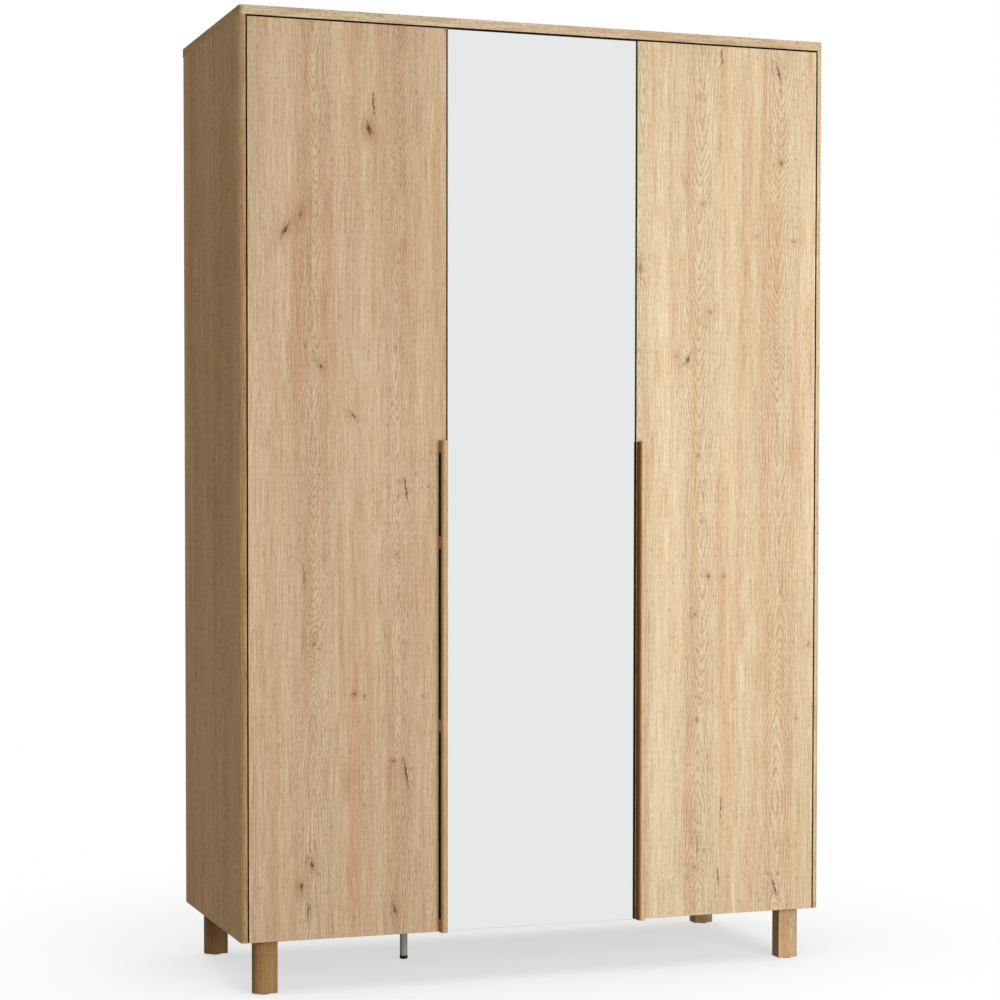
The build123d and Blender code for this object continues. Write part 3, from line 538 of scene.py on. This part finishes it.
def rebate_group():
    """1 inside the narrow gap between the doors' edges and the case round them."""
    tree, _, gives = new_group("door_rebate", {}, {"Mask": FLOAT})
    x, y, z = split(tree, add(tree, "ShaderNodeTexCoord").outputs["Object"])
    inside = between(tree, x, -REBATE_HALF, REBATE_HALF)
    inside = calc(tree, "MULTIPLY", inside, calc(tree, "LESS_THAN", z, REBATE_TOP))
    feed(tree, gives["Mask"], calc(tree, "MULTIPLY", inside, between(tree, y, *REBATE_DEPTH)))
    return tree


def paint_shading_where(material, mask, colour, blend="MIX"):
    """Paints shading over a finish: lays a colour over it, or multiplies it in, where a mask group says
    1.
    """
    tree = material.node_tree
    base = tree.nodes["Principled BSDF"].inputs["Base Color"]
    before = base.links[0].from_socket
    feed(tree, base, tint(tree, use(tree, mask)["Mask"], before, colour, blend))


POCKET = pocket_group()
EDGES = edge_group()
FRONT = facing_group("front_faces", 1)
LEFTWARD = facing_group("left_faces", 0)
REBATE = rebate_group()
print("masks:", POCKET.name, EDGES.name, FRONT.name, LEFTWARD.name, REBATE.name)

# %% [markdown]
# ## The two oak doors
#
# The doors carry the whole picture, so their hearts and knots are placed board by board: two columns
# to a door and half of a third at the right one's left edge, eyes and small dots along the columns, the
# one big knot high on the left door, and cracks near the top and foot of both. The left door is toned
# darker than the right one, although both are cut from the same decor. That is shade painted into the
# board, because these lamps don't fall off enough from one door to the other.

# %% Doors
LEFT_COLUMNS = ((-0.578, 0.030, 9.0, 1.9, 3.4, 0.84), (-0.370, 0.026, 10.0, 2.3, 3.6, 0.95))
LEFT_KNOTS = (
    (-0.438, 2.033, 0.019, 0.026, 0.90, 1.0, 0.20),
    (-0.427, 2.095, 0.006, 0.034, 0.10, 1.0, 0.02),
    (-0.642, 1.791, 0.020, 0.028, 0.80, 0.7, -0.55),
    (-0.606, 1.829, 0.012, 0.022, 0.40, 0.3, -0.30),
    (-0.577, 1.503, 0.018, 0.040, 0.05, 0.0, 0.0),
    (-0.559, 1.478, 0.009, 0.014, 0.80, 0.0, 0.3),
    (-0.476, 1.362, 0.011, 0.013, 0.75, 0.6, 0.8),
    (-0.291, 1.195, 0.004, 0.005, 0.80, 0.0, 0.0),
    (-0.347, 1.190, 0.012, 0.034, 0.35, 1.0, 0.16),
    (-0.369, 1.036, 0.007, 0.008, 0.70, 0.0, 0.0),
    (-0.598, 0.989, 0.005, 0.030, 0.05, 0.6, 0.05),
    (-0.571, 0.838, 0.016, 0.050, 0.05, 0.0, 0.0),
    (-0.566, 0.815, 0.006, 0.008, 0.60, 0.0, 0.0),
    (-0.474, 0.706, 0.009, 0.009, 0.95, 0.0, 0.0),
    (-0.449, 0.701, 0.005, 0.006, 0.90, 0.0, 0.0),
    (-0.304, 0.697, 0.005, 0.006, 0.70, 0.0, 0.0),
    (-0.378, 0.544, 0.006, 0.007, 0.95, 0.0, 0.0),
    (-0.347, 0.517, 0.013, 0.046, 0.30, 1.0, 0.16),
    (-0.579, 0.306, 0.013, 0.022, 0.80, 0.3, 0.2),
    (-0.605, 0.254, 0.013, 0.022, 0.90, 0.3, 0.1),
    (-0.589, 0.196, 0.009, 0.030, 0.50, 0.4, 0.0),
    (-0.374, 0.188, 0.012, 0.024, 0.60, 0.7, 0.3),
)
RIGHT_COLUMNS = (
    (0.418, 0.034, 9.0, 1.5, 3.4, 0.62),
    (0.632, 0.036, 10.0, 1.7, 3.4, 0.93),
    (0.258, 0.020, 6.0, 1.4, 3.0, 1.73),
)
RIGHT_KNOTS = (
    (0.472, 2.253, 0.006, 0.026, 0.10, 1.0, 0.04),
    (0.628, 2.220, 0.012, 0.030, 0.10, 1.0, 0.30),
    (0.416, 2.152, 0.009, 0.012, 0.35, 0.0, 0.0),
    (0.636, 2.000, 0.009, 0.013, 0.85, 0.0, 0.0),
    (0.616, 1.996, 0.011, 0.016, 0.0, 0.0, 0.0),
    (0.421, 1.891, 0.014, 0.014, 0.30, 0.0, 0.0),
    (0.570, 1.817, 0.008, 0.006, 0.65, 0.0, 0.0),
    (0.672, 1.806, 0.013, 0.007, 0.80, 0.0, 0.0),
    (0.256, 1.729, 0.014, 0.040, 0.45, 0.3, 0.0),
    (0.443, 1.626, 0.010, 0.013, 0.60, 0.0, 0.0),
    (0.384, 1.509, 0.013, 0.018, 0.80, 0.5, -0.4),
    (0.352, 1.514, 0.010, 0.014, 0.40, 0.0, 0.0),
    (0.417, 1.323, 0.010, 0.015, 0.20, 0.0, 0.0),
    (0.412, 1.271, 0.006, 0.008, 0.90, 0.0, 0.0),
    (0.421, 1.110, 0.006, 0.008, 0.60, 0.0, 0.0),
    (0.440, 0.974, 0.009, 0.010, 0.85, 0.0, 0.4),
    (0.484, 0.973, 0.008, 0.009, 0.70, 0.0, 0.0),
    (0.405, 0.880, 0.009, 0.010, 0.60, 0.0, 0.0),
    (0.718, 0.797, 0.010, 0.009, 0.55, 0.3, 0.0),
    (0.417, 0.672, 0.006, 0.008, 0.60, 0.0, 0.0),
    (0.412, 0.617, 0.006, 0.008, 0.80, 0.0, 0.0),
    (0.685, 0.613, 0.006, 0.008, 0.65, 0.0, 0.0),
    (0.477, 0.390, 0.006, 0.040, 0.0, 1.0, -0.03),
    (0.413, 0.306, 0.016, 0.050, 0.25, 0.0, 0.0),
    (0.408, 0.251, 0.009, 0.010, 0.70, 0.0, 0.0),
    (0.471, 0.225, 0.006, 0.026, 0.10, 1.0, 0.08),
    (0.626, 0.192, 0.013, 0.032, 0.12, 1.0, 0.30),
)

LEFT_TONE = (0.82, 0.77, 0.76)
# Painted shade: nearly black for the hollows behind the grips and the door behind them.
POCKET_SHADE = (0.020, 0.011, 0.006)
# Painted shade: nearly black for the mirror door's edges, and dark for the other doors' edges and the
# faces inside the gaps round them.
MIRROR_EDGE_SHADE = (0.030, 0.024, 0.020)
GAP_SHADE = (0.09, 0.07, 0.06)

left_oak = oak_material("oak_left_door", UPRIGHT, 1.0, LEFT_COLUMNS, LEFT_KNOTS, LEFT_TONE)
right_oak = oak_material("oak_right_door", UPRIGHT, 2.0, RIGHT_COLUMNS, RIGHT_KNOTS)
mirror_oak = oak_material("oak_mirror_door", UPRIGHT, 3.0, (PLAIN_COLUMN,))
# Painted shade: the doors' edges are darkened and the hollows behind the grips painted nearly black; the
# mirror door's edges are painted dark.
for door_oak in (left_oak, right_oak):
    paint_shading_where(door_oak, EDGES, GAP_SHADE, "MULTIPLY")
    paint_shading_where(door_oak, POCKET, POCKET_SHADE)
paint_shading_where(mirror_oak, EDGES, MIRROR_EDGE_SHADE)
finish_nodes(left_oak, "left_door_panel")
finish_nodes(right_oak, "right_door_panel")
finish_nodes(mirror_oak, "mirror_door_board")

# %% [markdown]
# ## The case
#
# The sides are seen at a slant and mostly show straight grain. The top runs the other way, and so
# do the shelves. The tones of the sides, of the left side's front edge and of the top's left edge carry
# painted shade too; on the right side's front edge that shade is taken back out, and the faces inside
# the door gaps are darkened as painted shade. Under other lamps these are the values to even out first.

# %% Case
SIDE_TONE = (0.96, 0.80, 0.60)
TOP_TONE = (0.84, 0.84, 0.86)
TOP_SHADE = (0.95, 0.78, 0.56)
FRONT_TONES = {"side_panel_left": (0.66, 0.66, 0.64), "side_panel_right": (1.0, 1.14, 1.45)}
SIDE_SPREAD = (0.5, 1.0, 1.0)
SIDE_COLUMNS = ((-0.05, 0.036, 9.0, 1.5, 3.2, 1.1), (0.09, 0.030, 8.0, 1.8, 3.2, 0.7))
case_oaks = {
    "side_panel_left": oak_material(
        "oak_side_left", UPRIGHT, 4.0, SIDE_COLUMNS, tone=SIDE_TONE, spread=SIDE_SPREAD),
    "side_panel_right": oak_material(
        "oak_side_right", UPRIGHT, 5.0, SIDE_COLUMNS, tone=SIDE_TONE, spread=SIDE_SPREAD),
    "top_panel": oak_material(
        "oak_top", LEVEL, 7.0, SIDE_COLUMNS, tone=TOP_TONE, spread=SIDE_SPREAD),
}
# Front edges: painted shade on the left side, the sides' painted shade taken back out on the right;
# faces inside the door gaps get painted shade.
for board, case_oak in case_oaks.items():
    if board in FRONT_TONES:
        paint_shading_where(case_oak, FRONT, FRONT_TONES[board], "MULTIPLY")
    paint_shading_where(case_oak, REBATE, GAP_SHADE, "MULTIPLY")
    finish_nodes(case_oak, board)
paint_shading_where(case_oaks["top_panel"], LEFTWARD, TOP_SHADE, "MULTIPLY")
shelves = [name for name in nodes if name.startswith("shelf_") and name[-1].isdigit()]
finish_nodes(oak_material("oak_partition", UPRIGHT, 6.0, SIDE_COLUMNS), "partition")
finish_nodes(oak_material("oak_bottom", LEVEL, 8.0, SIDE_COLUMNS), "bottom_panel")
finish_nodes(oak_material("oak_shelves", LEVEL, 9.0, SIDE_COLUMNS), "hat_shelf", *shelves)

# %% [markdown]
# ## Grips and legs
#
# They are the same decor on small pieces, toned warmer. Here as well part of the shade is painted on:
# the left legs are much darker than the right ones, the left grip is toned a little darker than the
# right one, the faces of a grip that look left get a painted shade on top of its tone, and the hollows
# behind each grip are painted nearly black.

# %% Grips and legs
GRIP_TONES = {"left": (0.79, 0.70, 0.62), "right": (0.90, 0.81, 0.68)}
GRIP_SHADES = {"left": (0.80, 0.64, 0.42), "right": (0.45, 0.30, 0.13)}
LEG_TONES = {"left": (0.55, 0.42, 0.27), "right": (0.93, 0.84, 0.74)}
LEG_COLUMNS = tuple((place, 0.016, 9.0, 4.0, 3.0, 0.10) for place in (-0.684, 0.684, -0.235))
# Painted shade: the faces of each grip that look left are darkened, the hollows behind it painted nearly
# black, and the left legs' tone is painted shade too.
for side, tone in GRIP_TONES.items():
    grip_oak = oak_material(f"oak_{side}_grip", UPRIGHT, 10.0, (PLAIN_COLUMN,), tone=tone)
    paint_shading_where(grip_oak, LEFTWARD, GRIP_SHADES[side], "MULTIPLY")
    paint_shading_where(grip_oak, POCKET, POCKET_SHADE)
    finish_nodes(grip_oak, f"{side}_handle")
for side, tone in LEG_TONES.items():
    leg_oak = oak_material(f"oak_{side}_legs", UPRIGHT, 11.0, LEG_COLUMNS, tone=tone)
    finish_nodes(leg_oak, f"leg_front_{side}", f"leg_rear_{side}")

# %% [markdown]
# ## Glass, metal and plastic
#
# A mirror is almost only its surroundings: silver behind clean glass, the same all over. Everything
# else has been touched, wiped or plated unevenly, so its colour and roughness wander a little.

# %% Plain finishes
FIELD_DETAIL = 4.0
FIELD_ROUGHNESS = 0.6
MARK_EDGE = (0.3, 0.75)
PLASTIC_PRESS = 0.00003
PAINT_PRESS = 0.00004
BOARD_PRESS = 0.00008


def even(size):
    """The same stretch in all three directions."""
    return (size, size, size)


def plain_material(name, colour, roughness, metallic=0.0, marks=0.08, grain=even(40.0), depth=0.0):
    """A finish whose colour and roughness vary a little, by noise stretched by the grain. With marks
    of 0 it is the same all over, and with a depth the noise is pressed into the surface too."""
    material = bpy.data.materials.new(name)
    material.use_nodes = True
    tree = material.node_tree
    shader = tree.nodes["Principled BSDF"]
    shader.inputs["Metallic"].default_value = metallic
    if not marks:
        shader.inputs["Base Color"].default_value = (*colour, 1.0)
        shader.inputs["Roughness"].default_value = roughness
        return material
    place = add(tree, "ShaderNodeTexCoord").outputs["Object"]
    field = noise(tree, stretch(tree, place, grain), FIELD_DETAIL, FIELD_ROUGHNESS)
    darker = tuple(part * (1.0 - 2 * marks) for part in colour)
    feed(tree, shader.inputs["Base Color"], tint(tree, ease(tree, field, *MARK_EDGE), colour, darker))
    shift = calc(tree, "MULTIPLY", calc(tree, "SUBTRACT", field, 0.5), marks * 2)
    feed(tree, shader.inputs["Roughness"], calc(tree, "ADD", roughness, shift, clamp=True))
    if depth:
        bump = add(tree, "ShaderNodeBump")
        bump.inputs["Distance"].default_value = depth
        feed(tree, bump.inputs["Height"], field)
        feed(tree, shader.inputs["Normal"], bump.outputs[0])
    return material


mirror_finish = plain_material("silvered_glass", (0.795, 0.812, 0.805), 0.0, metallic=1.0, marks=0.0)
plated = plain_material(
    "nickel_plate", (0.60, 0.59, 0.56), 0.28, metallic=1.0, grain=(60.0, 60.0, 700.0))
zinc = plain_material(
    "zinc_plate", (0.52, 0.53, 0.54), 0.38, metallic=1.0, marks=0.12, grain=even(300.0))
chrome = plain_material(
    "rail_chrome", (0.78, 0.78, 0.79), 0.10, metallic=1.0, marks=0.03, grain=(12.0, 300.0, 300.0))
foot_paint = plain_material(
    "foot_grey_paint", (0.46, 0.44, 0.40), 0.38, grain=even(900.0), depth=PAINT_PRESS)
foot_black = plain_material(
    "foot_dark_plastic", (0.022, 0.020, 0.019), 0.50, grain=even(600.0), depth=PAINT_PRESS)
glide_brown = plain_material(
    "glide_brown_plastic", (0.10, 0.07, 0.045), 0.55, grain=even(500.0), depth=PLASTIC_PRESS)
pale_plastic = plain_material(
    "pale_plastic", (0.70, 0.69, 0.66), 0.55, grain=even(200.0), depth=PLASTIC_PRESS)
soft_pad = plain_material("soft_pad", (0.62, 0.62, 0.60), 0.35, grain=even(300.0))
hardboard = plain_material(
    "back_board", (0.70, 0.67, 0.62), 0.70, marks=0.04, grain=(260.0, 260.0, 30.0), depth=BOARD_PRESS)
print("plain finishes ready")

# %% Plain finishes on their pieces
finish_nodes(mirror_finish, "mirror_glass")
doors = ("left", "mirror", "right")
hinge_pieces = [f"hinge_{part}_{door}" for part in ("plates", "arms", "cups") for door in doors]
hinge_screws = [f"{kind}_screws_{door}" for kind in ("hinge", "cup") for door in doors]
finish_nodes(plated, "shelf_supports", *hinge_pieces)
finish_nodes(zinc, "back_nails", "cam_bolts", "cam_locks", "leg_inserts", "leg_bolts", "rail_screws",
             "centre_foot_screws", "centre_foot_stem", "centre_foot_nut", "left_handle_screws",
             "right_handle_screws", *hinge_screws)
finish_nodes(chrome, "hanging_rail", "rail_socket_left", "rail_socket_right")
finish_nodes(foot_paint, "centre_foot_flange", "centre_foot_tube")
finish_nodes(foot_black, "centre_foot_cap")
finish_nodes(glide_brown, "leg_glides")
finish_nodes(pale_plastic, "back_joiner_strip")
finish_nodes(soft_pad, "door_buffers")
finish_nodes(hardboard, "back_panel_left", "back_panel_middle", "back_panel_right")

# %% [markdown]
# ## Light and floor
#
# The wardrobe stands in a white studio. A big soft lamp in front and to the right lights the doors,
# so the left side falls into shade. A very wide soft light from the ceiling lights the tops of things
# and draws the shadow underneath, and the white room fills the rest, a little warm. A studio floor
# for product pictures is lit from below as well, so that it melts into the room and keeps only a pale
# shadow: here the floor glows for the eye and for the mirror, and is an ordinary dim floor for the
# bounce of light, so that it doesn't flatten the shade on the side.

# %% Studio
FLOOR_HALF = 40.0
ROOM_FILL = 0.31
FILL_COLOUR = (1.0, 0.92, 0.82)
ROOM_SEEN = 1.0
SHADOW_SHARE = 0.38
SHADOW_REACH = (0.7, 1.7)
FAR_SHARE = 0.05
FLOOR_PAINT = (0.80, 0.81, 0.83)
FLOOR_BOUNCE = (0.30, 0.30, 0.30)
KEY_PLACE = (0.8, -4.5, 1.35)
KEY_AIM = (0.15, 0.0, 1.25)
KEY_SIZE = 2.5
KEY_WATTS = 204.0
CEILING_STRENGTH = 2.2
CEILING_SPREAD = math.radians(85.0)


def square(name, half):
    """A square of four corners on the floor, facing up."""
    mesh = bpy.data.meshes.new(name)
    corners = np.array([[-1, -1, 0], [1, -1, 0], [1, 1, 0], [-1, 1, 0]], float) * half
    mesh.from_pydata(corners.tolist(), [], [(0, 1, 2, 3)])
    return mesh


def seen_directly(tree):
    """1 for what the eye sees, straight or in the mirror, and 0 for light that only bounces."""
    path = add(tree, "ShaderNodeLightPath")
    return path, calc(tree, "MAXIMUM", path.outputs["Is Camera Ray"], path.outputs["Is Singular Ray"])


floor = bpy.data.objects.new("floor", square("floor", FLOOR_HALF))
bpy.context.scene.collection.objects.link(floor)
floor_paint = bpy.data.materials.new("studio_floor")
floor_paint.use_nodes = True
ground = floor_paint.node_tree
ground.nodes.remove(ground.nodes["Principled BSDF"])
path, direct = seen_directly(ground)
paint = add(ground, "ShaderNodeBsdfDiffuse")
feed(ground, paint.inputs["Color"], tint(ground, direct, FLOOR_BOUNCE, FLOOR_PAINT))
glow = add(ground, "ShaderNodeEmission")
spot = add(ground, "ShaderNodeVectorMath", operation="LENGTH")
feed(ground, spot.inputs[0], add(ground, "ShaderNodeTexCoord").outputs["Object"])
nearness = ease(ground, spot.outputs["Value"], *SHADOW_REACH, 1.0, FAR_SHARE)
glowing = calc(ground, "SUBTRACT", 1.0, calc(ground, "MULTIPLY", nearness, SHADOW_SHARE))
share = pick(ground, path.outputs["Is Singular Ray"], calc(ground, "MULTIPLY", direct, glowing), 1.0)
both = add(ground, "ShaderNodeMixShader")
feed(ground, both.inputs[0], share)
ground.links.new(paint.outputs[0], both.inputs[1])
ground.links.new(glow.outputs[0], both.inputs[2])
ground.links.new(both.outputs[0], ground.nodes["Material Output"].inputs["Surface"])
floor.data.materials.append(floor_paint)

room = bpy.data.worlds.new("white_room")
room.use_nodes = True
bpy.context.scene.world = room
sky = room.node_tree.nodes["Background"]
_, direct = seen_directly(room.node_tree)
feed(room.node_tree, sky.inputs["Strength"], pick(room.node_tree, direct, ROOM_FILL, ROOM_SEEN))
feed(room.node_tree, sky.inputs["Color"], tint(room.node_tree, direct, FILL_COLOUR, (1.0, 1.0, 1.0)))


def soft_lamp(name, place, aim, size, watts):
    """A square area lamp at a place, turned to shine at a point, that the mirror doesn't show."""
    data = bpy.data.lights.new(name, "AREA")
    data.size = size
    data.energy = watts
    lamp = bpy.data.objects.new(name, data)
    lamp.location = place
    lamp.rotation_euler = (Vector(aim) - Vector(place)).to_track_quat("-Z", "Y").to_euler()
    lamp.visible_glossy = False
    bpy.context.scene.collection.objects.link(lamp)


soft_lamp("key_lamp", KEY_PLACE, KEY_AIM, KEY_SIZE, KEY_WATTS)
sun = bpy.data.lights.new("ceiling_light", "SUN")
sun.energy = CEILING_STRENGTH
sun.angle = CEILING_SPREAD
ceiling = bpy.data.objects.new("ceiling_light", sun)
bpy.context.scene.collection.objects.link(ceiling)
bpy.context.scene.view_settings.view_transform = "Standard"
print("studio ready")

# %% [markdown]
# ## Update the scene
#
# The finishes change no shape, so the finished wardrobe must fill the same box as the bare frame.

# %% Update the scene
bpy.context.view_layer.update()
